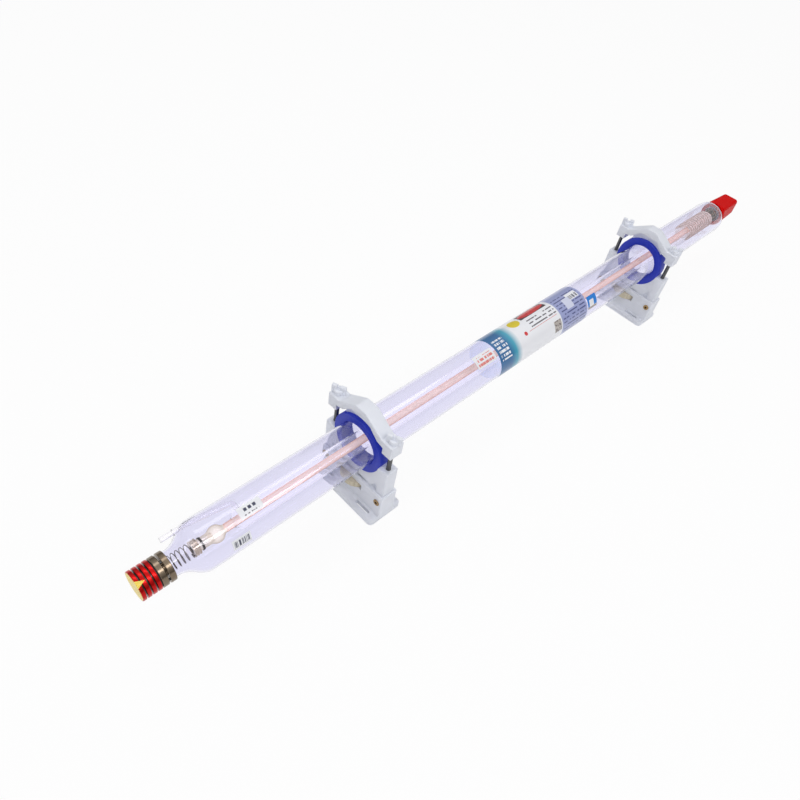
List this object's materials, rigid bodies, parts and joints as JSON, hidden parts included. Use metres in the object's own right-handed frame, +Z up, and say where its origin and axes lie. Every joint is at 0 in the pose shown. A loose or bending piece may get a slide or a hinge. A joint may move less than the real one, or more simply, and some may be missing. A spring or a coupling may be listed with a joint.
{
  "type": "sealed gas laser tube on mounts",
  "caption": "Long sealed glass laser tube with a finned output head, inner discharge tube and cooling jacket, a covered rear head and two height-adjustable clamp mounts.",
  "frame": {"origin": "middle of the footprint on the floor under the feet", "axes": "+X along the tube from the output head to the rear cover, +Y across it, +Z up"},
  "size_m": [1.7214, 0.158, 0.215],
  "materials": {
    "jacket_glass": "clear lavender-tinted borosilicate glass",
    "inner_glass": "clear glass",
    "discharge_glass": "pink-tinted glass with a warm sheen",
    "silvered_glass": "glass with a silvery deposit inside",
    "red_anodised": "red anodised, satin",
    "optic": "polished coated mirror",
    "black_rubber": "dull",
    "nickel": "nickel plated, satin",
    "dark_steel": "blackened steel",
    "spring_steel": "bright wire",
    "dark_band": "oxidised",
    "yellow_film": "printed film",
    "blue_film": "printed film, blue fading to white",
    "white_film": "printed film",
    "red_plastic": "moulded",
    "mount_plastic": "white moulded plastic",
    "knob_plastic": "white moulded plastic",
    "wheel_plastic": "beige moulded plastic",
    "blue_rubber": "blue silicone rubber",
    "brass": "machined"
  },
  "bodies": {
    "tube": {"outer_jacket": "jacket_glass", "water_jacket": "inner_glass", "discharge_tube": "discharge_glass", "electrode_flask": "silvered_glass", "gas_return_coil": "inner_glass", "gas_return_tube": "inner_glass", "water_outlet_nozzle": "inner_glass", "water_inlet_nozzle": "inner_glass", "finned_heat_sink": "red_anodised", "output_mirror": "optic", "head_spacer": "black_rubber", "front_head_mount": "nickel", "front_adjusting_screws": "dark_steel", "aperture_sticker": "yellow_film", "rear_head_mount": "nickel", "rear_adjusting_screws": "dark_steel", "rear_mirror": "optic", "mirror_retainer": "nickel", "anode_pin": "nickel", "rear_cover": "red_plastic", "cathode_spring": "spring_steel", "electrode_cup": "nickel", "electrode_band": "dark_band", "cathode_cylinder": "nickel", "main_label": "blue_film", "mark_sticker": "white_film", "outlet_sticker": "white_film", "serial_sticker": "white_film", "band_sticker": "white_film", "front_saddle": "mount_plastic", "front_rubber_ring": "blue_rubber", "front_yoke": "mount_plastic", "front_height_screw": "wheel_plastic", "rear_saddle": "mount_plastic", "rear_rubber_ring": "blue_rubber", "rear_yoke": "mount_plastic", "rear_height_screw": "wheel_plastic"},
    "front_foot": {"front_base": "mount_plastic", "front_lock_screws": "brass"},
    "front_wheel": {"front_height_wheel": "wheel_plastic"},
    "front_left_knob": {"front_left_clamp_bolt": "dark_steel", "front_left_clamp_knob": "knob_plastic"},
    "front_right_knob": {"front_right_clamp_bolt": "dark_steel", "front_right_clamp_knob": "knob_plastic"},
    "rear_foot": {"rear_base": "mount_plastic", "rear_lock_screws": "brass"},
    "rear_wheel": {"rear_height_wheel": "wheel_plastic"},
    "rear_left_knob": {"rear_left_clamp_bolt": "dark_steel", "rear_left_clamp_knob": "knob_plastic"},
    "rear_right_knob": {"rear_right_clamp_bolt": "dark_steel", "rear_right_clamp_knob": "knob_plastic"}
  },
  "joints": [
    {"name": "front_lift", "type": "slide", "parent": "tube", "child": "front_foot", "axis": [0, 0, -1], "range_m": [0, 0.02]},
    {"name": "front_wheel_turn", "type": "hinge", "parent": "front_foot", "child": "front_wheel", "pos_m": [-0.45735, 0, 0.0425], "axis": [0, 0, -1], "range_deg": [0, 4115]},
    {"name": "front_left_knob_turn", "type": "hinge", "parent": "tube", "child": "front_left_knob", "pos_m": [-0.45735, 0.065, 0.19], "axis": [0, 0, 1], "range_deg": [0, 1080]},
    {"name": "front_right_knob_turn", "type": "hinge", "parent": "tube", "child": "front_right_knob", "pos_m": [-0.45735, -0.065, 0.19], "axis": [0, 0, 1], "range_deg": [0, 1080]},
    {"name": "rear_lift", "type": "slide", "parent": "tube", "child": "rear_foot", "axis": [0, 0, -1], "range_m": [0, 0.02]},
    {"name": "rear_wheel_turn", "type": "hinge", "parent": "rear_foot", "child": "rear_wheel", "pos_m": [0.41365, 0, 0.0425], "axis": [0, 0, -1], "range_deg": [0, 4115]},
    {"name": "rear_left_knob_turn", "type": "hinge", "parent": "tube", "child": "rear_left_knob", "pos_m": [0.41365, 0.065, 0.19], "axis": [0, 0, 1], "range_deg": [0, 1080]},
    {"name": "rear_right_knob_turn", "type": "hinge", "parent": "tube", "child": "rear_right_knob", "pos_m": [0.41365, -0.065, 0.19], "axis": [0, 0, 1], "range_deg": [0, 1080]}
  ],
  "couplings": [
    {"joint": "front_wheel_turn", "follows": "front_lift", "rad_per_m": 3590.4},
    {"joint": "rear_wheel_turn", "follows": "rear_lift", "rad_per_m": 3590.4}
  ]
}
